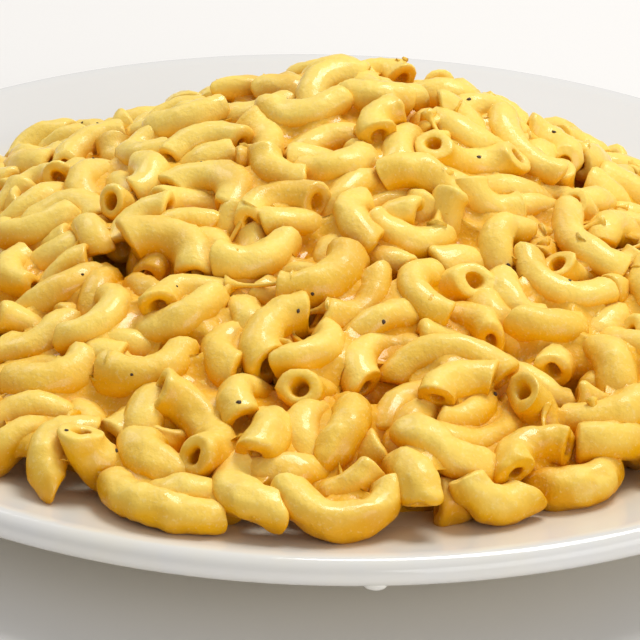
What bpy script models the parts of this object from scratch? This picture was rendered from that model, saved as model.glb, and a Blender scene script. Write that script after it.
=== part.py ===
"""A coupe plate heaped with macaroni cheese.

Two solids: the glazed plate, and the heap of elbow macaroni stuck together by its sauce,
which is one solid out to its lumpy outline. Metres, +Z up, origin on the table under the
centre of the plate's foot, +X to the diner's right and +Y away from the diner.
"""

import math
import random

import bmesh
import bpy
from mathutils import Euler, Matrix, Vector, noise

# Plate
PLATE_RADIUS = 0.135
PLATE_HEIGHT = 0.020
RIM_THICKNESS = 0.0056
WELL_HEIGHT = 0.009
WELL_FLAT_RADIUS = 0.058
WELL_CURVE_POWER = 2.0
BODY_THICKNESS = 0.0050
FOOT_RADIUS = 0.073
FOOT_WIDTH = 0.006
FOOT_RECESS = 0.0030
FOOT_DRAFT = 0.0015
FOOT_BEVEL = 0.0008
PLATE_STEPS = 56
WELL_POINTS = 6
RIM_STEPS = 6

# Heap
HEAP_X = 0.0
HEAP_Y = -0.015
HEAP_RADIUS = 0.108
HEAP_EDGE = 0.008
HEAP_RISE = 0.027
# A hill and a hollow on the mound: x, y, rise and width
CROWN = (0.010, 0.020, 0.016, 0.050)
HOLLOW = (0.060, 0.035, -0.004, 0.020)
HEAP_UNEVENNESS = 0.0028
HEAP_WAVE = 0.034
HEAP_WAVE_START = Vector((3.1, 1.7, 0.4))
EDGE_WANDER = 0.003
SCATTER = 0.003
CORE_DEPTH = 0.0060
CORE_RADIUS = 0.094
CORE_SPREAD = 0.007
CORE_RINGS = 16
CORE_STEPS = 48
GAP = 0.0003

# Elbows of macaroni
TUBE_DIAMETER = 0.0094
BEND_RADIUS = 0.0115
BEND_DEGREES = 130
UPPER_ELBOWS = 140
UPPER_REACH = 0.096
UPPER_TILT_DEGREES = 20
BASE_ELBOWS = 40
BASE_REACH = 0.102
BASE_TILT_DEGREES = 6
TUBE_SIDES = 12
BEND_STEPS = 8

# Joining the heap into one solid
VOXEL = 0.0013
SOFTENING_ROUNDS = 4
HEAP_TRIANGLES = 5900

GOLDEN_ANGLE = math.pi * (3 - math.sqrt(5))
RIM_RADIUS = RIM_THICKNESS / 2
CREST_RADIUS = PLATE_RADIUS - RIM_RADIUS


def clear_scene():
    for obj in list(bpy.data.objects):
        bpy.data.objects.remove(obj, do_unlink=True)


def new_collection(name):
    collection = bpy.data.collections.new(name)
    bpy.context.scene.collection.children.link(collection)
    return collection


def material(name, colour, roughness):
    made = bpy.data.materials.new(name)
    made.use_nodes = True
    shader = made.node_tree.nodes["Principled BSDF"]
    shader.inputs["Base Color"].default_value = (*colour, 1)
    shader.inputs["Roughness"].default_value = roughness
    shader.inputs["Metallic"].default_value = 0
    return made


def add_object(name, mesh, collection, finish=None):
    obj = bpy.data.objects.new(name, mesh)
    collection.objects.link(obj)
    if finish:
        mesh.materials.append(finish)
    return obj


def evaluated_mesh(obj):
    graph = bpy.context.evaluated_depsgraph_get()
    return bpy.data.meshes.new_from_object(obj.evaluated_get(graph))


def turned(name, profile, collection, finish=None):
    """A solid of revolution about Z. The profile runs from the axis over the top, down its
    outer side and back to the axis underneath."""
    mesh = bpy.data.meshes.new(name)
    points = [(radius, 0, height) for radius, height in profile]
    edges = [(i, i + 1) for i in range(len(points) - 1)]
    mesh.from_pydata(points, edges, [])
    obj = add_object(name, mesh, collection, finish)
    screw = obj.modifiers.new("turn", "SCREW")
    screw.steps = screw.render_steps = PLATE_STEPS
    screw.use_merge_vertices = True
    screw.merge_threshold = 0.00001
    screw.use_smooth_shade = True
    return obj


def well_height(radius):
    """Height of the plate's upper face: a flat well that curves up to the rim's crest."""
    rise = PLATE_HEIGHT - WELL_HEIGHT
    run = max(0.0, radius - WELL_FLAT_RADIUS) / (CREST_RADIUS - WELL_FLAT_RADIUS)
    return WELL_HEIGHT + rise * run**WELL_CURVE_POWER


def well_radii():
    span = CREST_RADIUS - WELL_FLAT_RADIUS
    return [WELL_FLAT_RADIUS + span * i / WELL_POINTS for i in range(WELL_POINTS)]


def plate_profile():
    upper = [(0, WELL_HEIGHT)] + [(r, well_height(r)) for r in well_radii()]
    rim_centre = PLATE_HEIGHT - RIM_RADIUS
    rim = []
    for step in range(RIM_STEPS + 1):
        angle = math.pi / 2 - math.pi * step / RIM_STEPS
        across, up = RIM_RADIUS * math.cos(angle), RIM_RADIUS * math.sin(angle)
        rim.append((CREST_RADIUS + across, rim_centre + up))
    inner_foot = FOOT_RADIUS - FOOT_WIDTH
    belly = [(r, well_height(r) - BODY_THICKNESS) for r in reversed(well_radii()) if r > FOOT_RADIUS]
    foot = [
        (FOOT_RADIUS + FOOT_DRAFT, well_height(FOOT_RADIUS) - BODY_THICKNESS),
        (FOOT_RADIUS, FOOT_BEVEL),
        (FOOT_RADIUS - FOOT_BEVEL, 0),
        (inner_foot + FOOT_BEVEL, 0),
        (inner_foot, FOOT_BEVEL),
        (inner_foot - FOOT_DRAFT, FOOT_RECESS),
        (0, FOOT_RECESS),
    ]
    return upper + rim + belly + foot


def make_plate(collection):
    glaze = material("white_glaze", (0.80, 0.80, 0.78), 0.12)
    return turned("plate", plate_profile(), collection, glaze)


def plate_top(x, y):
    return well_height(math.hypot(x, y))


def heap_top(x, y):
    """Height of the heap's outer skin: a broad uneven mound, nearer to the diner than the
    plate's middle, with a second helping as its crown and a soft hollow beside it."""
    run = min(1.0, math.hypot(x - HEAP_X, y - HEAP_Y) / HEAP_RADIUS)
    mound = plate_top(x, y) + HEAP_EDGE + HEAP_RISE * (1 - run * run)
    for hill_x, hill_y, rise, width in (CROWN, HOLLOW):
        away = math.hypot(x - hill_x, y - hill_y) / width
        mound += rise * math.exp(-away * away)
    wave = noise.noise(Vector((x, y, 0)) / HEAP_WAVE + HEAP_WAVE_START)
    return mound + HEAP_UNEVENNESS * wave * (1.2 - run)


def lie_on(surface, x, y):
    """Rotation that lays a flat thing on a surface, given as a function of x and y."""
    step = 0.004
    slope_x = (surface(x + step, y) - surface(x - step, y)) / (2 * step)
    slope_y = (surface(x, y + step) - surface(x, y - step)) / (2 * step)
    normal = Vector((-slope_x, -slope_y, 1)).normalized()
    return normal.to_track_quat("Z", "Y").to_matrix().to_4x4()


def elbow_mesh(bend_degrees, bend_radius, diameter):
    """One elbow, a round bar bent along an arc that is centred on the origin in XY."""
    bm = bmesh.new()
    half = math.radians(bend_degrees) / 2
    start = Matrix.Rotation(-half, 4, "Z") @ Matrix.Translation((bend_radius, 0, 0))
    ring = bmesh.ops.create_circle(
        bm,
        cap_ends=True,
        radius=diameter / 2,
        segments=TUBE_SIDES,
        matrix=start @ Matrix.Rotation(math.pi / 2, 4, "X"),
    )
    bmesh.ops.spin(
        bm,
        geom=ring["verts"] + bm.edges[:] + bm.faces[:],
        cent=(0, 0, 0),
        axis=(0, 0, 1),
        angle=2 * half,
        steps=BEND_STEPS,
    )
    middle = bend_radius * math.sin(half) / half
    bmesh.ops.translate(bm, verts=bm.verts, vec=(-middle, 0, 0))
    bmesh.ops.recalc_face_normals(bm, faces=bm.faces)
    mesh = bpy.data.meshes.new("elbow")
    bm.to_mesh(mesh)
    bm.free()
    return mesh


def turned_any_way(rng, tilt_degrees):
    tilt = math.radians(tilt_degrees)
    turn = Euler((rng.gauss(0, tilt), rng.gauss(0, tilt), rng.uniform(0, 2 * math.pi)))
    return turn.to_matrix().to_4x4()


def upper_places(rng):
    """The elbows on the mound, spread evenly by a sunflower spiral."""
    for index in range(UPPER_ELBOWS):
        angle = index * GOLDEN_ANGLE
        radius = UPPER_REACH * math.sqrt((index + 0.5) / UPPER_ELBOWS)
        x = HEAP_X + radius * math.cos(angle) + rng.uniform(-SCATTER, SCATTER)
        y = HEAP_Y + radius * math.sin(angle) + rng.uniform(-SCATTER, SCATTER)
        height = heap_top(x, y) - TUBE_DIAMETER / 2 - rng.uniform(-SCATTER, SCATTER) / 2
        turn = turned_any_way(rng, UPPER_TILT_DEGREES)
        yield Matrix.Translation((x, y, height)) @ lie_on(heap_top, x, y) @ turn


def base_places(rng):
    """The elbows that lie on the plate, in an uneven ring round the foot of the mound."""
    for index in range(BASE_ELBOWS):
        angle = 2 * math.pi * (index + rng.uniform(-0.3, 0.3)) / BASE_ELBOWS
        radius = BASE_REACH + EDGE_WANDER * math.sin(3 * angle + 1) + rng.uniform(-SCATTER, SCATTER)
        x, y = HEAP_X + radius * math.cos(angle), HEAP_Y + radius * math.sin(angle)
        height = plate_top(x, y) + TUBE_DIAMETER / 2
        turn = turned_any_way(rng, BASE_TILT_DEGREES)
        yield Matrix.Translation((x, y, height)) @ lie_on(plate_top, x, y) @ turn


def make_core(bm):
    """The middle of the heap, under the outer layer of elbows."""
    base = WELL_HEIGHT - CORE_DEPTH / 2
    circles = []
    for ring in range(1, CORE_RINGS + 1):
        radius = CORE_RADIUS * ring / CORE_RINGS
        circle = []
        for step in range(CORE_STEPS):
            angle = 2 * math.pi * step / CORE_STEPS
            x, y = HEAP_X + radius * math.cos(angle), HEAP_Y + radius * math.sin(angle)
            circle.append(bm.verts.new((x, y, heap_top(x, y) - CORE_DEPTH)))
        circles.append(circle)
    middle = Vector((HEAP_X, HEAP_Y, base))
    spread = 1 + CORE_SPREAD / CORE_RADIUS
    floor = []
    for vert in circles[-1]:
        outwards = Vector((vert.co.x, vert.co.y, base)) - middle
        floor.append(bm.verts.new(middle + spread * outwards))
    peak = bm.verts.new((HEAP_X, HEAP_Y, heap_top(HEAP_X, HEAP_Y) - CORE_DEPTH))
    for inner, outer in zip(circles, circles[1:] + [floor]):
        for step in range(CORE_STEPS):
            after = (step + 1) % CORE_STEPS
            bm.faces.new((inner[step], outer[step], outer[after], inner[after]))
    for step in range(CORE_STEPS):
        bm.faces.new((peak, circles[0][step], circles[0][(step + 1) % CORE_STEPS]))
    bm.faces.new(reversed(floor))


def keep_largest_body(mesh):
    """Removes the walls of sealed hollows, which leaves the outer skin of one solid."""
    bm = bmesh.new()
    bm.from_mesh(mesh)
    waiting = set(bm.verts)
    largest = set()
    while waiting:
        seed = waiting.pop()
        body, edge = {seed}, [seed]
        while edge:
            vert = edge.pop()
            for link in vert.link_edges:
                other = link.other_vert(vert)
                if other not in body:
                    body.add(other)
                    edge.append(other)
        waiting -= body
        if len(body) > len(largest):
            largest = body
    bmesh.ops.delete(bm, geom=[v for v in bm.verts if v not in largest], context="VERTS")
    bm.to_mesh(mesh)
    bm.free()


def make_plate_cutter(collection):
    """All that lies under the heap: the plate's upper face raised by the gap, and outwards."""
    outside = 1.15 * PLATE_RADIUS
    below = -PLATE_HEIGHT / 2
    upper = [(0, WELL_HEIGHT + GAP)] + [(r, well_height(r) + GAP) for r in well_radii()]
    crest = [(CREST_RADIUS, PLATE_HEIGHT + GAP), (outside, PLATE_HEIGHT + GAP)]
    cutter = turned("plate_cutter", upper + crest + [(outside, below), (0, below)], collection)
    cutter.hide_render = True
    cutter.display_type = "WIRE"
    return cutter


def make_heap(collection, cutters):
    rng = random.Random(18)
    kinds = [
        elbow_mesh(BEND_DEGREES, BEND_RADIUS, TUBE_DIAMETER),
        elbow_mesh(BEND_DEGREES * 1.35, BEND_RADIUS * 0.85, TUBE_DIAMETER),
        elbow_mesh(BEND_DEGREES * 0.75, BEND_RADIUS * 1.4, TUBE_DIAMETER * 0.95),
    ]
    bm = bmesh.new()
    make_core(bm)
    places = [*upper_places(rng), *base_places(rng)]
    for index, place in enumerate(places):
        elbow = kinds[index % len(kinds)].copy()
        elbow.transform(place)
        bm.from_mesh(elbow)
        bpy.data.meshes.remove(elbow)
    mesh = bpy.data.meshes.new("heap_parts")
    bm.to_mesh(mesh)
    bm.free()
    for kind in kinds:
        bpy.data.meshes.remove(kind)

    parts = add_object("heap_parts", mesh, cutters)
    remesh = parts.modifiers.new("join", "REMESH")
    remesh.mode = "VOXEL"
    remesh.voxel_size = VOXEL
    skin = evaluated_mesh(parts)
    skin.name = "macaroni_heap"
    keep_largest_body(skin)
    skin.shade_smooth()
    bpy.data.objects.remove(parts)

    sauce = material("cheese_sauce", (0.88, 0.56, 0.12), 0.35)
    heap = add_object("macaroni_heap", skin, collection, sauce)
    skin.materials.clear()
    skin.materials.append(sauce)
    soften = heap.modifiers.new("soften", "SMOOTH")
    soften.factor = 0.5
    soften.iterations = SOFTENING_ROUNDS
    thin = heap.modifiers.new("fewer_faces", "DECIMATE")
    thin.ratio = HEAP_TRIANGLES / (2 * len(skin.polygons))
    cut = heap.modifiers.new("sit_on_plate", "BOOLEAN")
    cut.operation = "DIFFERENCE"
    cut.object = make_plate_cutter(cutters)
    return heap


def main():
    clear_scene()
    collection = new_collection("macaroni_cheese")
    cutters = new_collection("cutters")
    make_plate(collection)
    make_heap(collection, cutters)


main()
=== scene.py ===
"""The looks of a coupe plate heaped with macaroni cheese.

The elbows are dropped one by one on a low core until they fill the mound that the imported
solid gives. A sauce skin fills the nooks between them. Metres, +Z up, +Y away from the diner.
"""

import math

import bpy
import numpy as np
from mathutils import Matrix, Vector, noise
from mathutils.bvhtree import BVHTree


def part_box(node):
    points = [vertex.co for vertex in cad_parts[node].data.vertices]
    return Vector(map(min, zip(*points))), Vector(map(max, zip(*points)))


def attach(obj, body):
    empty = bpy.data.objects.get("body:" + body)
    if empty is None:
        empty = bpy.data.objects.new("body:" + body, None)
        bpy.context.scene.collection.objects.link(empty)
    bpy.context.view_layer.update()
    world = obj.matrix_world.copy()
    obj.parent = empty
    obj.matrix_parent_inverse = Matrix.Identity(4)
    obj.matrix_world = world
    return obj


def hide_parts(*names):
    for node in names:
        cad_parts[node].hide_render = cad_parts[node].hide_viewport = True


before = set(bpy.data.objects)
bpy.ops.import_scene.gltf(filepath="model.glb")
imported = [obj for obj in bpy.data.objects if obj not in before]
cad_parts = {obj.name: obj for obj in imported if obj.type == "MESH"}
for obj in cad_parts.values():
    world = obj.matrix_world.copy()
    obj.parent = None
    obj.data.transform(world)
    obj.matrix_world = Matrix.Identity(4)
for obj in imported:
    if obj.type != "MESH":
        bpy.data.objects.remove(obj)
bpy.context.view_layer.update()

MM = 0.001
DEG = math.pi / 180

# Plate, as packed
plate_low, plate_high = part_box("plate")
PLATE_RADIUS = plate_high.x
PLATE_HEIGHT = plate_high.z
RIM_THICKNESS = 0.0056
WELL_HEIGHT = 0.009
WELL_FLAT_RADIUS = 0.058
WELL_CURVE_POWER = 2.0
BODY_THICKNESS = 0.0050
FOOT_RADIUS = 0.073
FOOT_WIDTH = 0.006
FOOT_RECESS = 0.0030
FOOT_DRAFT = 0.0015
FOOT_BEVEL = 0.0008
RIM_RADIUS = RIM_THICKNESS / 2
CREST_RADIUS = PLATE_RADIUS - RIM_RADIUS
PLATE_STEPS = 180

# Mound
heap_low, heap_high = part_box("macaroni_heap")
HEAP_X = 0.0
HEAP_Y = -0.015
HEAP_RADIUS = 0.108
HEAP_EDGE = 0.008
HEAP_RISE = 0.027
# A hill and a hollow on the mound: x, y, rise and width
CROWN = (0.010, 0.020, 0.016, 0.050)
HOLLOW = (0.060, 0.035, -0.004, 0.020)
HEAP_UNEVENNESS = 0.0028
HEAP_WAVE = 0.034
HEAP_WAVE_START = Vector((3.1, 1.7, 0.4))
EDGE_WANDER = 0.003
CORE_DEPTH = 0.022
BASE_REACH = 0.107
MIDDLE_REACH = 0.094

# Elbows
BALLS = 9
TUBE_RADIUS = 0.0041
TIGHTEST_BEND = 0.0078
BULGE_UP = 14 * DEG
SQUEEZE = 0.86
END_SQUEEZE = 0.70
OVERHANG = 0.0065
NEIGHBOURHOOD = 0.036
TRIES = 32
PLUG_TRIES = 160
PLUG_SEEN = 0.006
PLUG_OVERLAP = 0.0022
MOST_ELBOWS = 900
CELL = 0.0025
SEED = 7
UNDER_RINGS = 0.0115
PATTERN_DRAW = 0.90
HOLE = 0.40
HOLE_EDGE = 0.45
BAR_DRAW = 0.97
# Rows of elbows round the mound's foot: how far each is in from the edge, the room along the
# row for one elbow, and how far one may stand above the skin
RINGS = (-0.006, 0.008, 0.021)
RING_SPACE = 0.0145
RING_PROUD = 0.0040
NEAR_FRONT = -0.097
PLUG_ENDS = 0.12
# How far under the skin the painted shade of the nooks begins and where it is full.
NOOK_SHADE_START = 0.002
NOOK_SHADE_END = 0.010
# Painted light on the elbows: their tone runs from deepest at the first y, at the front, to palest at the second, at
# the back.
PAINTED_SHADE_FRONT = -0.110
PAINTED_LIGHT_BACK = 0.030
FILM_REACH = 0.131

# Small things
PEPPER_SPECKS = 60
PEPPER_SIZE = 0.00042
STRINGS = 44
STRING_RADIUS = 0.00046
STRING_SPAN = (0.0025, 0.0070)
DRIP_PLACE = (10, 1.6)
DRIP_SIZE = (0.0022, 0.0012, 0.0011)

# Sauce
SAUCE_DEPTH = 0.0098
SAUCE_GROWTH = 0.0014
SAUCE_SHRINK = 0.0027
SAUCE_VOXEL = 0.0013


# ---------------------------------------------------------------- surfaces


def well_height(radius):
    """Height of the plate's upper face: a flat well that curves up to the rim's crest."""
    run = np.maximum(0.0, radius - WELL_FLAT_RADIUS) / (CREST_RADIUS - WELL_FLAT_RADIUS)
    return WELL_HEIGHT + (PLATE_HEIGHT - WELL_HEIGHT) * run**WELL_CURVE_POWER


def heap_top(x, y):
    """Height of the mound's outer skin at one place."""
    run = min(1.0, math.hypot(x - HEAP_X, y - HEAP_Y) / HEAP_RADIUS)
    mound = float(well_height(math.hypot(x, y))) + HEAP_EDGE + HEAP_RISE * (1 - run * run)
    for hill_x, hill_y, rise, width in (CROWN, HOLLOW):
        away = math.hypot(x - hill_x, y - hill_y) / width
        mound += rise * math.exp(-away * away)
    wave = noise.noise(Vector((x, y, 0)) / HEAP_WAVE + HEAP_WAVE_START)
    return mound + HEAP_UNEVENNESS * wave * (1.2 - run)


class Field:
    """Heights on a square grid over the plate, read between its points."""

    def __init__(self, height_at):
        half = PLATE_RADIUS + 0.006
        self.half = half
        self.count = int(round(2 * half / CELL)) + 1
        self.ticks = np.linspace(-half, half, self.count)
        self.x, self.y = np.meshgrid(self.ticks, self.ticks, indexing="ij")
        self.z = height_at(self.x, self.y)

    def __call__(self, x, y):
        u = np.clip((x + self.half) / (2 * self.half) * (self.count - 1), 0, self.count - 1.001)
        v = np.clip((y + self.half) / (2 * self.half) * (self.count - 1), 0, self.count - 1.001)
        i, j = u.astype(int), v.astype(int)
        a, b = u - i, v - j
        z = self.z
        near = z[i, j] * (1 - a) + z[i + 1, j] * a
        far = z[i, j + 1] * (1 - a) + z[i + 1, j + 1] * a
        return near * (1 - b) + far * b


def plate_top(x, y):
    return well_height(np.minimum(np.hypot(x, y), CREST_RADIUS))


def from_middle(x, y):
    """How far places lie from the heap's middle, less the wander of the heap's edge."""
    wander = EDGE_WANDER * np.sin(3 * np.arctan2(y - HEAP_Y, x - HEAP_X) + 1)
    return np.hypot(x - HEAP_X, y - HEAP_Y) - wander


def skin_height(x, y):
    """How high the heap may reach: the mound, or one elbow's thickness over the plate."""
    mound = np.vectorize(heap_top)(x, y)
    lying = plate_top(x, y) + 2.1 * TUBE_RADIUS
    return np.where(from_middle(x, y) < BASE_REACH, np.maximum(mound, lying), plate_top(x, y))


def core_height(x, y):
    return np.maximum(plate_top(x, y), np.vectorize(heap_top)(x, y) - CORE_DEPTH)


skin = Field(skin_height)
core = Field(core_height)
core_floor = plate_top


# ---------------------------------------------------------------- packing


class Elbow:
    """One piece of macaroni: an arc in its own XY plane that bulges towards +X."""

    def __init__(self, bend, length, radius):
        self.bend, self.length, self.radius = bend, length, radius
        self.bend_radius = length / bend
        self.centre = self.bend_radius * math.sin(bend / 2) / (bend / 2)
        inset = 0.5 * radius / self.bend_radius
        angle = np.linspace(-bend / 2 + inset, bend / 2 - inset, BALLS)
        across = self.bend_radius * np.cos(angle) - self.centre
        self.line = np.stack([across, self.bend_radius * np.sin(angle), 0 * angle], axis=1)

    def lay(self, x, y, height, turn):
        """Puts the elbow somewhere, with its balls in world coordinates."""
        self.turn = turn
        self.place = np.array([x, y, height])
        self.chain = self.line @ turn.T + self.place


def random_elbow(rng, shorter=1.0):
    radius = TUBE_RADIUS * rng.uniform(0.90, 1.10)
    length = rng.triangular(17, 24, 32) * MM * shorter
    bend = rng.triangular(80, 145, 205) * DEG
    return Elbow(min(bend, length / TIGHTEST_BEND), length, radius)


def rotations(heading, pitch, roll):
    """Rotation matrices, one for each row: a turn about Z after a pitch about X and a roll
    about Y."""
    ch, sh = np.cos(heading), np.sin(heading)
    cp, sp = np.cos(pitch), np.sin(pitch)
    cr, sr = np.cos(roll), np.sin(roll)
    zero, one = 0 * ch, 0 * ch + 1
    about_z = np.stack([ch, -sh, zero, sh, ch, zero, zero, zero, one], -1).reshape(-1, 3, 3)
    about_x = np.stack([one, zero, zero, zero, cp, -sp, zero, sp, cp], -1).reshape(-1, 3, 3)
    about_y = np.stack([cr, zero, sr, zero, one, zero, -sr, zero, cr], -1).reshape(-1, 3, 3)
    return about_z @ about_x @ about_y


def slope_rotation(x, y):
    """Rotation that lays a flat thing on the mound's slope, with its X axis kept level."""
    step = 0.006
    side = np.array([x + step, x - step, x, x])
    deep = np.array([y, y, y + step, y - step])
    east, west, north, south = skin(side, deep)
    normal = Vector((west - east, south - north, 2 * step)).normalized()
    along = Vector((1, 0, 0))
    along = (along - along.dot(normal) * normal).normalized()
    up = normal.cross(along)
    return np.array([along, up, normal]).T


class Heap:
    """The elbows that lie in the heap, as balls along their middle lines."""

    def __init__(self):
        self.elbows = []
        self.balls = np.zeros((0, 3))
        self.radii = np.zeros(0)
        self.top = core.z.copy()
        middle = np.clip(1.6 - np.abs(np.linspace(-2, 2, BALLS)), 0, 1)
        self.squeeze = END_SQUEEZE + (SQUEEZE - END_SQUEEZE) * middle

    def rest(self, chains, radius, balls, radii):
        """How far each chain of balls must be lifted to lie on the heap, row by row."""
        ground = core(chains[..., 0], chains[..., 1]) + radius - chains[..., 2]
        lift = ground.max(axis=1)
        if len(balls):
            dx = chains[..., 0, None] - balls[:, 0]
            dy = chains[..., 1, None] - balls[:, 1]
            reach = (radius + radii) * self.squeeze[:, None]
            room = reach**2 - dx * dx - dy * dy
            over = balls[:, 2] + np.sqrt(np.maximum(room, 0)) - chains[..., 2, None]
            over = np.where(room > 0, over, -1.0)
            lift = np.maximum(lift, over.max(axis=(1, 2)))
        return lift

    def settle(self, rng, elbow, x, y, steepness, rounds):
        """Drops the elbow at a place and rolls it about until it lies low. Returns how far it
        then stands above the skin. It is not added yet."""
        keep = np.hypot(self.balls[:, 0] - x, self.balls[:, 1] - y) < NEIGHBOURHOOD
        balls, radii = self.balls[keep], self.radii[keep]
        slope = slope_rotation(x, y)
        lean = rng.normal((0, -BULGE_UP), steepness, 2)
        centre = np.array([x, y, rng.uniform(0, 2 * math.pi), *lean])
        width = np.array([0.002, 0.002, 50 * DEG, 8 * DEG, 8 * DEG])
        best = None
        for _ in range(rounds):
            tries = centre + rng.normal(0, 1, (TRIES, 5)) * width
            tries[0] = centre
            turns = slope @ rotations(tries[:, 2], tries[:, 3], tries[:, 4])
            chains = elbow.line @ turns.transpose(0, 2, 1)
            chains[..., 0] += tries[:, 0, None]
            chains[..., 1] += tries[:, 1, None]
            lift = self.rest(chains, elbow.radius, balls, radii)
            chains[..., 2] += lift[:, None]
            above = (chains[..., 2] + elbow.radius - skin(chains[..., 0], chains[..., 1])).max(axis=1)
            outside = from_middle(chains[..., 0], chains[..., 1]).max(axis=1) - BASE_REACH - OVERHANG
            score = chains[..., 2].mean(axis=1) + 3 * np.maximum(0, above) + 4 * np.maximum(0, outside)
            pick = int(score.argmin())
            if best is None or score[pick] < best[0]:
                best = (score[pick], tries[pick], lift[pick], turns[pick], above[pick])
                centre = tries[pick]
            width = width * 0.6
        _, (x, y, *_), lift, turn, above = best
        elbow.lay(x, y, lift, turn)
        return above

    def add(self, elbow):
        self.elbows.append(elbow)
        self.balls = np.vstack([self.balls, elbow.chain])
        self.radii = np.append(self.radii, np.full(BALLS, elbow.radius))
        for ball in elbow.chain:
            room = elbow.radius**2 - (core.x - ball[0]) ** 2 - (core.y - ball[1]) ** 2
            height = np.where(room > 0, ball[2] + np.sqrt(np.maximum(room, 0)), 0)
            self.top = np.maximum(self.top, height)

    def depths(self, elbow):
        """How far under the heap's top each ball of an elbow lies."""
        half, count = core.half, core.count
        place = np.round((elbow.chain[:, :2] + half) / (2 * half) * (count - 1)).astype(int)
        return self.top[place[:, 0], place[:, 1]] - elbow.chain[:, 2] - elbow.radius

    def fill(self, rng, below, depth, steepness, shorter, proud):
        """Drops elbows wherever the heap lies furthest under the skin less `depth`, until it is
        nowhere more than `below` short of that."""
        closed = np.where(from_middle(core.x, core.y) > BASE_REACH, 1.0, 0.0)
        for _ in range(MOST_ELBOWS):
            need = skin.z - depth - self.top - closed + rng.normal(0, 0.0015, self.top.shape)
            i, j = np.unravel_index(need.argmax(), need.shape)
            if need[i, j] < below:
                return
            x, y = core.x[i, j], core.y[i, j]
            elbow = random_elbow(rng, shorter)
            if self.settle(rng, elbow, x, y, steepness, 2) > proud - depth:
                elbow = random_elbow(rng, 0.85 * shorter)
                if self.settle(rng, elbow, x, y, 0.4 * steepness, 5) > proud - depth:
                    near = (core.x - x) ** 2 + (core.y - y) ** 2
                    closed += 0.02 * np.exp(-near / 0.0035**2)
                    continue
            self.add(elbow)

    def plug(self, rng, below, most):
        """Sticks elbows into the gaps that are left in the heap's skin, each with an end or its
        bulge showing and the rest buried."""
        closed = np.where(from_middle(core.x, core.y) > BASE_REACH - 0.004, 1.0, 0.0)
        for _ in range(most):
            need = skin.z - self.top - closed
            i, j = np.unravel_index(need.argmax(), need.shape)
            if need[i, j] < below:
                return
            x, y = core.x[i, j], core.y[i, j]
            near = (core.x - x) ** 2 + (core.y - y) ** 2
            closed += 0.02 * np.exp(-near / 0.003**2)
            elbow = random_elbow(rng, 0.9)
            keep = np.hypot(self.balls[:, 0] - x, self.balls[:, 1] - y) < NEIGHBOURHOOD
            balls, radii = self.balls[keep], self.radii[keep]
            heading = rng.uniform(0, 2 * math.pi, PLUG_TRIES)
            shows_end = rng.uniform() < PLUG_ENDS
            pitch = rng.uniform(-1, 1, PLUG_TRIES) * (65 if shows_end else 20) * DEG
            roll = rng.uniform(-1, 1, PLUG_TRIES) * 30 * DEG - (0 if shows_end else 65 * DEG)
            turns = slope_rotation(x, y) @ rotations(heading, pitch, roll)
            chains = elbow.line @ turns.transpose(0, 2, 1)
            highest = chains[..., 2].argmax(axis=1)
            top = chains[np.arange(PLUG_TRIES), highest]
            sink = rng.uniform(0, min(0.4 * below, 0.002), PLUG_TRIES) + elbow.radius
            shift = np.stack([x - top[:, 0], y - top[:, 1], skin.z[i, j] - sink - top[:, 2]], axis=1)
            shift[:, :2] += rng.normal(0, 0.0015, (PLUG_TRIES, 2))
            chains = chains + shift[:, None, :]
            apart = np.linalg.norm(chains[:, :, None, :] - balls, axis=3)
            overlap = np.maximum(0, self.squeeze[:, None] * (elbow.radius + radii) - apart)
            seen = chains[..., 2] + elbow.radius > skin(chains[..., 0], chains[..., 1]) - PLUG_SEEN
            overlap = (overlap * seen[..., None]).max(axis=2)
            floor = core_floor(chains[..., 0], chains[..., 1]) + elbow.radius - chains[..., 2]
            above = chains[..., 2] + elbow.radius - skin(chains[..., 0], chains[..., 1])
            bad = overlap.max(axis=1) + np.maximum(0, floor).max(axis=1) + np.maximum(0, above).max(axis=1)
            pick = int(bad.argmin())
            if bad[pick] < PLUG_OVERLAP:
                elbow.lay(*shift[pick], turns[pick])
                self.add(elbow)

    def ring(self, rng, inside, steepness):
        """Drops a row of elbows all the way round the mound, some way in from its edge."""
        reach = HEAP_RADIUS - inside
        count = round(2 * math.pi * reach / RING_SPACE)
        for index in range(count):
            around = (index + rng.uniform(-0.3, 0.3)) * 2 * math.pi / count
            x = HEAP_X + reach * math.sin(around)
            y = HEAP_Y - reach * math.cos(around)
            elbow = random_elbow(rng)
            if self.settle(rng, elbow, x, y, steepness, 4) < RING_PROUD:
                self.add(elbow)


# ---------------------------------------------------------------- building pieces


def select_none():
    if bpy.context.object and bpy.context.object.mode != "OBJECT":
        bpy.ops.object.mode_set(mode="OBJECT")
    bpy.ops.object.select_all(action="DESELECT")


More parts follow.
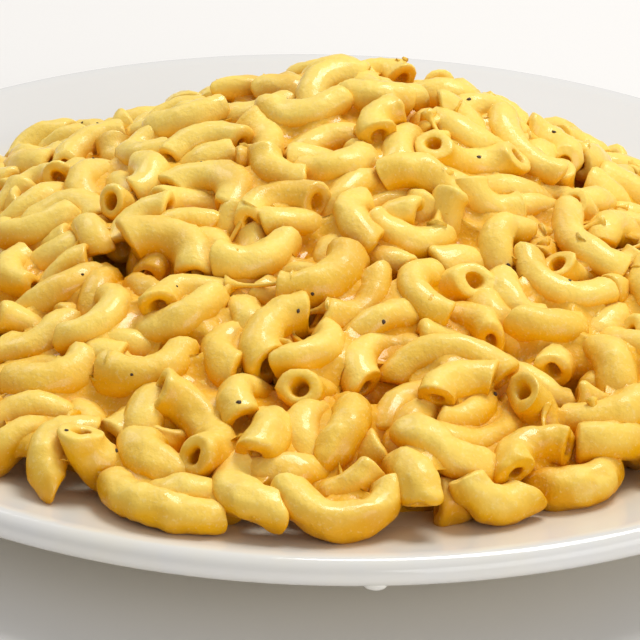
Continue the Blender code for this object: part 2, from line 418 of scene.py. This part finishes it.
def model_tube(sides, rings, hole):
    """A straight tube along Z from -1/2 to 1/2 with a radius of 1, rounded and hollow at both
    ends. It is bent to each elbow's own arc afterwards."""
    select_none()
    bpy.ops.mesh.primitive_cylinder_add(vertices=sides, radius=1, depth=1, end_fill_type="NGON")
    tube = bpy.context.object
    tube.name = "macaroni_pattern"
    bpy.ops.object.mode_set(mode="EDIT")
    for height in np.linspace(-0.46, 0.46, rings):
        bpy.ops.mesh.select_all(action="SELECT")
        bpy.ops.mesh.bisect(plane_co=(0, 0, height), plane_no=(0, 0, 1))
    bpy.ops.mesh.select_mode(type="FACE")
    bpy.ops.object.mode_set(mode="OBJECT")
    for side in (-1, 1):
        bpy.ops.object.mode_set(mode="EDIT")
        bpy.ops.mesh.select_all(action="DESELECT")
        bpy.ops.object.mode_set(mode="OBJECT")
        for polygon in tube.data.polygons:
            polygon.select = polygon.normal.z * side > 0.9
        bpy.ops.object.mode_set(mode="EDIT")
        bpy.ops.mesh.inset(thickness=0.11, depth=0.022)
        bpy.ops.mesh.inset(thickness=0.89 - hole - 0.12, depth=0.006)
        bpy.ops.mesh.inset(thickness=0.12, depth=-0.030)
        bpy.ops.mesh.extrude_region_move(TRANSFORM_OT_translate={"value": (0, 0, -0.16 * side)})
        bpy.ops.object.mode_set(mode="OBJECT")
    return tube


def bent(elbow, points, grow=0.0, trim=0.0, draw=PATTERN_DRAW):
    """The pattern's points carried onto an elbow: bent along its arc, uneven as soft pasta is,
    with ends cut a little askew and pressed flat."""
    rng = np.random.default_rng(elbow.seed)
    across, side, along = points[:, 0], points[:, 1], points[:, 2]
    turn = np.arctan2(side, across)
    ends = np.clip((np.abs(along) - 0.22) / 0.28, 0, 1) ** 2
    wave = rng.uniform(0, 2 * math.pi, 4)
    swell = rng.uniform(0.02, 0.06)
    uneven = 1 + swell * np.sin(8 * along + wave[0]) + 0.035 * np.sin(2 * turn + 7 * along + wave[1])
    flare = rng.normal(0.05, 0.07, 2)
    uneven += ends * np.where(along > 0, flare[0], flare[1])
    radius = (elbow.radius * uneven + grow) / draw

    press = rng.choice((0.03, 0.08, 0.15, 0.22), 2, p=(0.4, 0.35, 0.17, 0.08))
    press = np.where(along > 0, *press) * ends + rng.uniform(0.0, 0.10)
    tilt = rng.uniform(0, math.pi, 2)
    tilt = np.where(along > 0, *tilt)
    flat = across * np.cos(tilt) + side * np.sin(tilt)
    wide = side * np.cos(tilt) - across * np.sin(tilt)
    flat, wide = flat * (1 - press), wide * (1 + 0.50 * press)
    across, side = flat * np.cos(tilt) - wide * np.sin(tilt), flat * np.sin(tilt) + wide * np.cos(tilt)

    slant = rng.normal(0, 0.16, (2, 2)) * elbow.radius
    askew = np.where(along > 0, slant[0, 0], slant[1, 0]) * across
    askew += np.where(along > 0, slant[0, 1], slant[1, 1]) * side
    angle = (along * (elbow.length - 2 * trim) + askew * ends) / elbow.bend_radius
    angle += rng.normal(0, 0.05) * np.sin(2 * math.pi * along)
    out = elbow.bend_radius + across * radius
    x = out * np.cos(angle) - elbow.centre
    y = out * np.sin(angle)
    z = side * radius + rng.normal(0, 0.0006) * np.sin(5 * along + wave[2])
    return np.stack([x, y, z], axis=1) @ elbow.turn.T + elbow.place


def mark_depth(obj):
    """Notes on each point how far it lies under the mound's skin, 0 to 1, for the painted shade in the nooks."""
    mesh = obj.data
    co = np.zeros(3 * len(mesh.vertices))
    mesh.vertices.foreach_get("co", co)
    x, y, z = co.reshape(-1, 3).T
    depth = np.clip((skin(x, y) - z - NOOK_SHADE_START) / (NOOK_SHADE_END - NOOK_SHADE_START), 0, 1)
    mesh.attributes.new("depth", "FLOAT", "POINT").data.foreach_set("value", depth.astype(np.float32))


def mesh_object(name, points, faces, tones_and_light=None):
    mesh = bpy.data.meshes.new(name)
    mesh.from_pydata(points.tolist(), [], faces)
    if tones_and_light is not None:
        mesh.attributes.new("tone", "FLOAT", "POINT").data.foreach_set("value", tones_and_light.astype(np.float32))
    mesh.shade_smooth()
    obj = bpy.data.objects.new(name, mesh)
    bpy.context.scene.collection.objects.link(obj)
    return obj


def joined(name, pattern, elbows, **shape):
    """One piece made of a bent copy of the pattern for each elbow."""
    base = np.array([v.co for v in pattern.data.vertices])
    faces = [list(p.vertices) for p in pattern.data.polygons]
    inside = (np.hypot(base[:, 0], base[:, 1]) < HOLE_EDGE).astype(float)
    points, all_faces, tones_and_light = [], [], []
    for index, elbow in enumerate(elbows):
        points.append(bent(elbow, base, **shape))
        all_faces += [[v + index * len(base) for v in face] for face in faces]
        tones_and_light.append(np.full(len(base), elbow.tone))
    obj = mesh_object(name, np.vstack(points), all_faces, np.concatenate(tones_and_light))
    # Points inside the ends' holes, which the paint darkens as painted shade.
    holes = np.tile(inside, len(elbows)).astype(np.float32)
    obj.data.attributes.new("hole", "FLOAT", "POINT").data.foreach_set("value", holes)
    return obj


def apply(obj, kind, **settings):
    """Adds a modifier, sets it up and applies it."""
    select_none()
    obj.select_set(True)
    bpy.context.view_layer.objects.active = obj
    modifier = obj.modifiers.new(kind.lower(), kind)
    for key, value in settings.items():
        setattr(modifier, key, value)
    bpy.ops.object.modifier_apply(modifier=modifier.name)


def texture(name, size, depth=1):
    made = bpy.data.textures.new(name, "CLOUDS")
    made.noise_scale = size
    made.noise_depth = depth
    return made


# ---------------------------------------------------------------- materials


class Number:
    """A number that a node puts out. Arithmetic on it adds Math nodes."""

    def __init__(self, paint, socket):
        self.paint, self.socket = paint, socket

    def math(self, operation, a, b):
        return self.paint.node("ShaderNodeMath", {"operation": operation}, {0: a, 1: b})

    def __add__(self, other):
        return self.math("ADD", self, other)

    def __radd__(self, other):
        return self.math("ADD", other, self)

    def __sub__(self, other):
        return self.math("SUBTRACT", self, other)

    def __rsub__(self, other):
        return self.math("SUBTRACT", other, self)

    def __mul__(self, other):
        return self.math("MULTIPLY", self, other)

    def __rmul__(self, other):
        return self.math("MULTIPLY", other, self)

    def __pow__(self, other):
        return self.math("POWER", self, other)


class Paint:
    """A procedural material, made node by node."""

    def __init__(self, name):
        self.material = bpy.data.materials.new(name)
        self.material.use_nodes = True
        self.tree = self.material.node_tree
        self.shader = self.tree.nodes["Principled BSDF"]
        self.place = self.node("ShaderNodeTexCoord", out="Object")

    def node(self, kind, settings=None, inputs=None, out=0):
        made = self.tree.nodes.new(kind)
        for key, value in (settings or {}).items():
            if key == "stops":
                while len(made.color_ramp.elements) < len(value):
                    made.color_ramp.elements.new(0.5)
                for element, (position, colour) in zip(made.color_ramp.elements, value):
                    element.position, element.color = position, colour
            else:
                setattr(made, key, value)
        for key, value in (inputs or {}).items():
            self.feed(made.inputs[key], value)
        return Number(self, made.outputs[out])

    def feed(self, socket, value):
        if isinstance(value, Number):
            self.tree.links.new(value.socket, socket)
        else:
            socket.default_value = value

    def set(self, **values):
        for key, value in values.items():
            self.feed(self.shader.inputs[key.replace("_", " ")], value)

    def noise(self, scale, detail=2.0, roughness=0.5, out=0):
        inputs = {"Vector": self.place, "Scale": scale, "Detail": detail, "Roughness": roughness}
        return self.node("ShaderNodeTexNoise", None, inputs, out)

    def ramp(self, value, low, high):
        """0 below low, 1 above high, straight in between."""
        inputs = {"Value": value, "From Min": low, "From Max": high}
        return self.node("ShaderNodeMapRange", None, inputs)

    def mix(self, share, first, second, blend="MIX"):
        settings = {"data_type": "RGBA", "blend_type": blend}
        return self.node("ShaderNodeMix", settings, {0: share, 6: first, 7: second}, out=2)

    def bump(self, height, strength, distance, normal=None):
        inputs = {"Height": height, "Strength": strength, "Distance": distance}
        if normal is not None:
            inputs["Normal"] = normal
        return self.node("ShaderNodeBump", None, inputs)


def rgb(red, green, blue):
    """A colour given as it looks on a screen, 0 to 255, as the linear values nodes take."""
    return tuple((c / 255 / 12.92 if c < 10 else ((c / 255 + 0.055) / 1.055) ** 2.4) for c in (red, green, blue)) + (1,)


def cheese_paint(name, pale, deep, orange):
    """Cooked pasta and cheese sauce, with painted light and shade: painted paler where it faces up,
    painted orange and brown in the nooks and holes as shade, with pale specks that are partly
    painted glints, a fine grain and wet spots."""
    paint = Paint(name)
    tone = paint.node("ShaderNodeAttribute", {"attribute_name": "tone"}, out="Fac")
    depth = paint.node("ShaderNodeAttribute", {"attribute_name": "depth"}, out="Fac")
    hole = paint.node("ShaderNodeAttribute", {"attribute_name": "hole"}, out="Fac")
    # Painted shade: the insides of the holes count as deep nooks.
    depth = depth + hole * 0.7
    normal = paint.node("ShaderNodeNewGeometry", out="Normal")
    up = paint.node("ShaderNodeSeparateXYZ", None, {0: normal}, out="Z")
    patches = paint.noise(75, 3)
    fine = paint.noise(1300, 2)
    # Painted light and shade: faces turned up are painted pale and deep places deep, over random patches and each
    # elbow's tone, which is itself paler towards the back as painted light.
    share = paint.ramp(tone * 0.55 + patches * 0.7 + up * 0.60 - depth * 0.6, 0.50, 1.22)
    colour = paint.mix(share, deep, pale)
    # Random golden patches, pushed further into the nooks and onto faces turned down as painted shade.
    golden_and_shade = paint.ramp(paint.noise(38, 2) + depth * 0.35 - up * 0.12, 0.46, 0.70)
    colour = paint.mix(golden_and_shade, colour, orange)
    # Painted shade: the deepest nooks and the holes are painted brown.
    colour = paint.mix(paint.ramp(depth, 0.75, 1.10) * 0.6, colour, rgb(202, 146, 14))
    # Pale specks: a fine grain that also serves as painted glints, a little more often on faces turned up.
    freckles_and_glints = paint.ramp(fine + up * 0.06, 0.60, 0.72) * 0.20
    colour = paint.mix(freckles_and_glints, colour, rgb(255, 238, 176))
    height = paint.noise(150, 3) * 1.1 + paint.noise(480, 2) * 0.26 + fine * 0.10
    height = height + paint.noise(2600, 1) * 0.05
    wet = paint.ramp(paint.noise(190, 2), 0.42, 0.66)
    paint.set(
        Base_Color=colour,
        Roughness=paint.ramp(fine, 0.35, 0.65) * 0.30 + 0.30,
        Normal=paint.bump(height, 0.9, 0.0008),
        IOR=1.40,
        Specular_IOR_Level=0.28,
        Coat_Weight=wet * 0.6,
        Coat_Roughness=0.11,
    )
    return paint.material


def glaze_paint():
    """White glaze, with a thin film of sauce on it round the foot of the heap."""
    paint = Paint("white_glaze")
    soft = paint.noise(14, 2)
    colour = paint.mix(soft, rgb(222, 220, 216), rgb(230, 228, 225))
    middle = paint.node("ShaderNodeVectorMath", {"operation": "MULTIPLY"}, {0: paint.place, 1: (1, 1, 0)})
    away = paint.node("ShaderNodeVectorMath", {"operation": "DISTANCE"}, {0: middle, 1: (HEAP_X, HEAP_Y, 0)}, out="Value")
    ragged = away + paint.noise(60, 3) * 0.016 + paint.noise(260, 2) * 0.005
    film = 1.0 - paint.ramp(ragged, FILM_REACH - 0.022, FILM_REACH + 0.002)
    colour = paint.mix(film * 0.45, colour, rgb(255, 236, 176))
    paint.set(
        Base_Color=colour,
        Roughness=film * 0.18 + paint.ramp(paint.noise(60, 2), 0.3, 0.7) * 0.05 + 0.07,
        Normal=paint.bump(paint.noise(45, 1) + film * 0.4, 0.06, 0.0004),
        Coat_Weight=0.3,
        Coat_Roughness=0.03,
    )
    return paint.material


def pepper_paint():
    paint = Paint("black_pepper")
    colour = paint.mix(paint.noise(2500, 2), rgb(38, 26, 18), rgb(92, 66, 44))
    paint.set(Base_Color=colour, Roughness=0.6)
    return paint.material


# ---------------------------------------------------------------- the pieces


def make_plate():
    """The plate, turned from one outline and finished smooth."""
    radii = np.linspace(WELL_FLAT_RADIUS, CREST_RADIUS, 26)[:-1]
    upper = [(0, WELL_HEIGHT)]
    upper += [(r, WELL_HEIGHT) for r in np.linspace(0.004, WELL_FLAT_RADIUS, 8)[:-1]]
    upper += [(r, float(well_height(r))) for r in radii]
    rim = []
    for step in range(13):
        angle = math.pi / 2 - math.pi * step / 12
        rim.append((CREST_RADIUS + RIM_RADIUS * math.cos(angle), PLATE_HEIGHT - RIM_RADIUS + RIM_RADIUS * math.sin(angle)))
    belly = [(r, float(well_height(r)) - BODY_THICKNESS) for r in radii[::-1] if r > FOOT_RADIUS + FOOT_DRAFT]
    inner = FOOT_RADIUS - FOOT_WIDTH
    foot = [
        (FOOT_RADIUS + FOOT_DRAFT, float(well_height(FOOT_RADIUS)) - BODY_THICKNESS),
        (FOOT_RADIUS, FOOT_BEVEL),
        (FOOT_RADIUS - FOOT_BEVEL, 0),
        (inner + FOOT_BEVEL, 0),
        (inner, FOOT_BEVEL),
        (inner - FOOT_DRAFT, FOOT_RECESS),
        (0, FOOT_RECESS),
    ]
    outline = upper + rim + belly + foot
    mesh = bpy.data.meshes.new("plate_glazed")
    mesh.from_pydata([(r, 0, z) for r, z in outline], [(i, i + 1) for i in range(len(outline) - 1)], [])
    obj = bpy.data.objects.new("plate_glazed", mesh)
    bpy.context.scene.collection.objects.link(obj)
    apply(obj, "SCREW", steps=PLATE_STEPS, render_steps=PLATE_STEPS, use_merge_vertices=True,
          merge_threshold=0.00001, use_smooth_shade=True)
    return obj


def add_drip(plate):
    """A small drop of glaze that ran down and set under the rim's front."""
    angle = math.asin(DRIP_PLACE[0] * MM / PLATE_RADIUS)
    reach = CREST_RADIUS + 0.3 * RIM_RADIUS
    select_none()
    bpy.ops.mesh.primitive_uv_sphere_add(
        segments=16, ring_count=10, radius=1, scale=DRIP_SIZE,
        location=(reach * math.sin(angle), -reach * math.cos(angle), PLATE_HEIGHT - 2 * RIM_RADIUS + 0.0004),
    )
    drip = bpy.context.object
    drip.data.shade_smooth()
    plate.select_set(True)
    bpy.context.view_layer.objects.active = plate
    bpy.ops.object.join()


def surface_of(pieces):
    """All the pieces' faces in one tree that can be asked where a ray meets them."""
    points, faces = [], []
    for piece in pieces:
        start = len(points)
        points += [v.co.copy() for v in piece.data.vertices]
        faces += [[start + v for v in polygon.vertices] for polygon in piece.data.polygons]
    return BVHTree.FromPolygons(points, faces)


def make_pepper(surface, rng):
    """Specks of ground pepper scattered over the heap's top."""
    select_none()
    bpy.ops.mesh.primitive_ico_sphere_add(subdivisions=1, radius=1)
    speck = bpy.context.object
    base = np.array([v.co for v in speck.data.vertices])
    base_faces = [list(p.vertices) for p in speck.data.polygons]
    bpy.data.objects.remove(speck)
    points, faces = [], []
    while len(points) < PEPPER_SPECKS:
        angle = rng.uniform(0, 2 * math.pi)
        reach = BASE_REACH * math.sqrt(rng.uniform(0, 1))
        above = Vector((HEAP_X + reach * math.cos(angle), HEAP_Y + reach * math.sin(angle), 0.2))
        place, normal, *_ = surface.ray_cast(above, Vector((0, 0, -1)))
        if place is None:
            continue
        turn = np.array(normal.to_track_quat("Z", "Y").to_matrix())
        size = PEPPER_SIZE * rng.uniform(0.6, 1.5) * np.array([rng.uniform(0.8, 1.4), 1, 0.5])
        lumpy = base * rng.uniform(0.7, 1.2, (len(base), 1)) * size
        faces += [[v + len(points) * len(base) for v in face] for face in base_faces]
        points.append(lumpy @ turn.T + np.array(place))
    return mesh_object("black_pepper", np.vstack(points), faces)


def make_strings(elbows, rng):
    """Strands of cheese drawn out between neighbouring elbows, thick where they stick."""
    select_none()
    bpy.ops.mesh.primitive_cylinder_add(vertices=6, radius=1, depth=1)
    strand = bpy.context.object
    bpy.ops.object.mode_set(mode="EDIT")
    for height in np.linspace(-0.44, 0.44, 9):
        bpy.ops.mesh.select_all(action="SELECT")
        bpy.ops.mesh.bisect(plane_co=(0, 0, height), plane_no=(0, 0, 1))
    bpy.ops.object.mode_set(mode="OBJECT")
    base = np.array([v.co for v in strand.data.vertices])
    base_faces = [list(p.vertices) for p in strand.data.polygons]
    bpy.data.objects.remove(strand)
    points, faces = [], []
    for _ in range(60 * STRINGS):
        if len(points) == STRINGS:
            break
        first, second = rng.choice(len(elbows), 2, replace=False)
        first, second = elbows[first], elbows[second]
        apart = np.linalg.norm(first.chain[:, None] - second.chain[None], axis=2)
        one, two = np.unravel_index(apart.argmin(), apart.shape)
        gap = apart[one, two] - first.radius - second.radius
        if not STRING_SPAN[0] < gap < STRING_SPAN[1]:
            continue
        lift = np.array([0, 0, 0.75])
        start = first.chain[one] + lift * first.radius
        finish = second.chain[two] + lift * second.radius
        along = finish - start
        side = np.cross(along, (0, 0, 1.0))
        side /= np.linalg.norm(side)
        up = np.cross(side, along / np.linalg.norm(along))
        t = base[:, 2] + 0.5
        thick = STRING_RADIUS * rng.uniform(0.6, 1.3) * (1 + 3.5 * np.abs(2 * t - 1) ** 4)
        sag = -0.0008 * rng.uniform(0, 1) * np.sin(math.pi * t)
        line = start + t[:, None] * along
        out = line + (base[:, :1] * side + base[:, 1:2] * up) * thick[:, None]
        out[:, 2] += sag
        faces += [[v + len(points) * len(base) for v in face] for face in base_faces]
        points.append(out)
    return mesh_object("cheese_strings", np.vstack(points), faces, np.full(len(points) * len(base), 0.7))


def make_middle():
    """The sauce and pasta deep in the heap, up to a set depth under the skin."""
    rings, steps = 30, 72
    radius = np.linspace(0, MIDDLE_REACH, rings + 1)[1:]
    angle = np.linspace(0, 2 * math.pi, steps + 1)[:-1]
    base = WELL_HEIGHT - BODY_THICKNESS / 2
    points = [(HEAP_X, HEAP_Y, heap_top(HEAP_X, HEAP_Y) - SAUCE_DEPTH)]
    for r in radius:
        x, y = HEAP_X + r * np.cos(angle), HEAP_Y + r * np.sin(angle)
        points += list(zip(x, y, np.maximum(skin(x, y) - SAUCE_DEPTH, base)))
    points += [(x, y, base - 0.001) for x, y, _ in points[-steps:]]
    faces = [[0, 1 + i, 1 + (i + 1) % steps] for i in range(steps)]
    for ring in range(rings):
        a, b = 1 + ring * steps, 1 + (ring + 1) * steps
        faces += [[a + i, b + i, b + (i + 1) % steps, a + (i + 1) % steps] for i in range(steps)]
    faces += [[1 + rings * steps + i for i in range(steps)][::-1]]
    return mesh_object("middle", np.array(points), faces, np.full(len(points), 0.4))


def keep_outer_skin(obj):
    """Removes the walls of sealed hollows inside a remeshed body."""
    select_none()
    obj.select_set(True)
    bpy.context.view_layer.objects.active = obj
    mesh = obj.data
    count = len(mesh.vertices)
    ends = np.zeros(2 * len(mesh.edges), dtype=np.int64)
    mesh.edges.foreach_get("vertices", ends)
    ends = ends.reshape(-1, 2)
    group = np.arange(count)
    while True:
        least = group.copy()
        np.minimum.at(least, ends[:, 0], group[ends[:, 1]])
        np.minimum.at(least, ends[:, 1], group[ends[:, 0]])
        least = least[least]
        if (least == group).all():
            break
        group = least
    values, sizes = np.unique(group, return_counts=True)
    drop = group != values[sizes.argmax()]
    mesh.polygons.foreach_set("select", np.zeros(len(mesh.polygons), dtype=bool))
    mesh.edges.foreach_set("select", np.zeros(len(mesh.edges), dtype=bool))
    mesh.vertices.foreach_set("select", drop)
    bpy.ops.object.mode_set(mode="EDIT")
    bpy.ops.mesh.select_mode(type="VERT")
    bpy.ops.mesh.delete(type="VERT")
    bpy.ops.object.mode_set(mode="OBJECT")


def make_sauce(bar, elbows):
    """The sauce between the elbows: bars a little fatter than the tubes, joined with the middle
    into one skin and drawn back in, so that it fills the creases where they nearly touch."""
    sauce = joined("cheese_sauce", bar, elbows, grow=SAUCE_GROWTH, trim=0.0025, draw=BAR_DRAW)
    middle = make_middle()
    select_none()
    middle.select_set(True)
    sauce.select_set(True)
    bpy.context.view_layer.objects.active = sauce
    bpy.ops.object.join()
    apply(sauce, "REMESH", mode="VOXEL", voxel_size=SAUCE_VOXEL)
    keep_outer_skin(sauce)
    apply(sauce, "SMOOTH", factor=0.5, iterations=2)
    apply(sauce, "DISPLACE", strength=-SAUCE_SHRINK, mid_level=0.0)
    apply(sauce, "SMOOTH", factor=0.5, iterations=5)
    apply(sauce, "DISPLACE", texture=texture("patches", 0.008, 2), strength=0.0012, mid_level=0.5,
          texture_coords="GLOBAL")
    co = np.zeros(3 * len(sauce.data.vertices))
    sauce.data.vertices.foreach_get("co", co)
    co = co.reshape(-1, 3)
    co[:, 2] = np.maximum(co[:, 2], plate_top(co[:, 0], co[:, 1]) - 0.0006)
    sauce.data.vertices.foreach_set("co", co.ravel())
    sauce.data.update()
    sauce.data.shade_smooth()
    return sauce


def camera_at(place, pan, tilt, roll, lens):
    forward = Vector((math.sin(pan) * math.cos(tilt), math.cos(pan) * math.cos(tilt), -math.sin(tilt)))
    right = Vector((math.cos(pan), -math.sin(pan), 0))
    up = right.cross(forward)
    across = right * math.cos(roll) + up * math.sin(roll)
    above = up * math.cos(roll) - right * math.sin(roll)
    turn = Matrix((across, above, -forward)).transposed().to_4x4()
    camera = bpy.data.objects.new("camera", bpy.data.cameras.new("camera"))
    camera.data.lens = lens
    camera.matrix_world = Matrix.Translation(place) @ turn
    bpy.context.scene.collection.objects.link(camera)
    bpy.context.scene.camera = camera


def area_light(name, place, aim, width, height, power, colour=(1, 1, 1)):
    light = bpy.data.lights.new(name, "AREA")
    light.shape = "RECTANGLE"
    light.size, light.size_y = width, height
    light.energy = power
    light.color = colour
    obj = bpy.data.objects.new(name, light)
    obj.location = place
    obj.rotation_euler = (Vector(aim) - Vector(place)).to_track_quat("-Z", "Y").to_euler()
    bpy.context.scene.collection.objects.link(obj)


def make_studio():
    select_none()
    bpy.ops.mesh.primitive_plane_add(size=8, location=(0, 0, 0))
    floor = bpy.context.object
    floor.name = "studio_floor"
    paint = Paint("studio_floor")
    paint.set(Base_Color=rgb(232, 229, 225), Roughness=0.6)
    floor.data.materials.append(paint.material)
    world = bpy.data.worlds.new("studio")
    bpy.context.scene.world = world
    world.use_nodes = True
    world.node_tree.nodes["Background"].inputs["Color"].default_value = (1, 1, 1, 1)
    world.node_tree.nodes["Background"].inputs["Strength"].default_value = 0.40
    area_light("key", (0.30, 0.42, 1.1), (0.02, -0.02, 0.03), 0.6, 0.5, 10)
    area_light("left_back", (-0.6, 0.6, 0.8), (0, 0, 0.02), 0.6, 0.5, 2)
    area_light("front_fill", (0.9, -1.2, 0.40), (0.45, -0.75, 0.0), 1.4, 0.9, 9)
    bpy.context.scene.view_settings.view_transform = "Standard"


# ---------------------------------------------------------------- the heap

heap = Heap()
packing = np.random.default_rng(SEED)
heap.fill(packing, 0.0045, UNDER_RINGS, 35 * DEG, 1.0, 0.001)
for inside in RINGS:
    heap.ring(packing, inside, 42 * DEG)
heap.fill(packing, 0.0070, 0, 55 * DEG, 1.0, 0.0030)
heap.fill(packing, 0.0048, 0, 45 * DEG, 0.9, 0.0025)
heap.plug(packing, 0.0032, 400)
for index, elbow in enumerate(heap.elbows):
    elbow.seed = 1000 + index
    # Painted light: a random tone for each elbow, made paler the further back it lies.
    back = np.clip((elbow.place[1] - PAINTED_SHADE_FRONT) / (PAINTED_LIGHT_BACK - PAINTED_SHADE_FRONT), 0, 1)
    elbow.tone = float(0.55 * packing.uniform(0, 1) + 0.75 * back)

depths = [float(heap.depths(elbow).min()) for elbow in heap.elbows]
edge = [float(from_middle(elbow.chain[:, 0], elbow.chain[:, 1]).max()) for elbow in heap.elbows]
buried, shown, near = [], [], []
for elbow, depth, reach in zip(heap.elbows, depths, edge):
    if depth > 0.007 and reach < BASE_REACH - 0.012:
        buried.append(elbow)
    elif elbow.place[1] < NEAR_FRONT and depth < 0.004:
        near.append(elbow)
    else:
        shown.append(elbow)

pattern = model_tube(8, 7, HOLE)
bar = model_tube(8, 7, 0.05)
kinds = {
    "macaroni_front": (near, 2),
    "macaroni_hooks": ([e for e in shown if e.bend > 150 * DEG], 1),
    "macaroni_elbows": ([e for e in shown if 125 * DEG < e.bend <= 150 * DEG], 1),
    "macaroni_arcs": ([e for e in shown if e.bend <= 125 * DEG], 1),
    "macaroni_buried": (buried, 0),
}
pieces = []
for name, (elbows, levels) in kinds.items():
    piece = joined(name, pattern, elbows)
    if levels:
        apply(piece, "SUBSURF", levels=levels, render_levels=levels)
    apply(piece, "DISPLACE", texture=texture("lumps", 0.0045), strength=0.0015, mid_level=0.5,
          texture_coords="GLOBAL")
    piece.data.shade_smooth()
    mark_depth(piece)
    pieces.append(piece)
sauce = make_sauce(bar, near + shown)
for spare in (pattern, bar):
    bpy.data.objects.remove(spare)
mark_depth(sauce)
plate = make_plate()
add_drip(plate)
pepper = make_pepper(surface_of(pieces[:-1] + [sauce]), np.random.default_rng(SEED + 1))
strings = make_strings(near + shown, np.random.default_rng(SEED + 2))
mark_depth(strings)

# Each set is one cheese colour painted lit and shaded: pale for faces turned up, deep and orange for the sides and
# nooks.
pasta_paint = cheese_paint("macaroni", rgb(253, 219, 107), rgb(235, 174, 8), rgb(228, 161, 4))
sauce_paint = cheese_paint("cheese_sauce", rgb(250, 208, 88), rgb(234, 171, 12), rgb(224, 155, 4))
for piece in pieces:
    piece.data.materials.append(pasta_paint)
sauce.data.materials.clear()
sauce.data.materials.append(sauce_paint)
strings.data.materials.append(sauce_paint)
pepper.data.materials.append(pepper_paint())
plate.data.materials.append(glaze_paint())

for piece in (*pieces, sauce, strings, pepper):
    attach(piece, "root")
    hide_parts("macaroni_heap")
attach(plate, "root")
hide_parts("plate")

make_studio()
camera_at((0, -0.4984, 0.2451), -0.181 * DEG, 25.947 * DEG, 1.357 * DEG, 135)
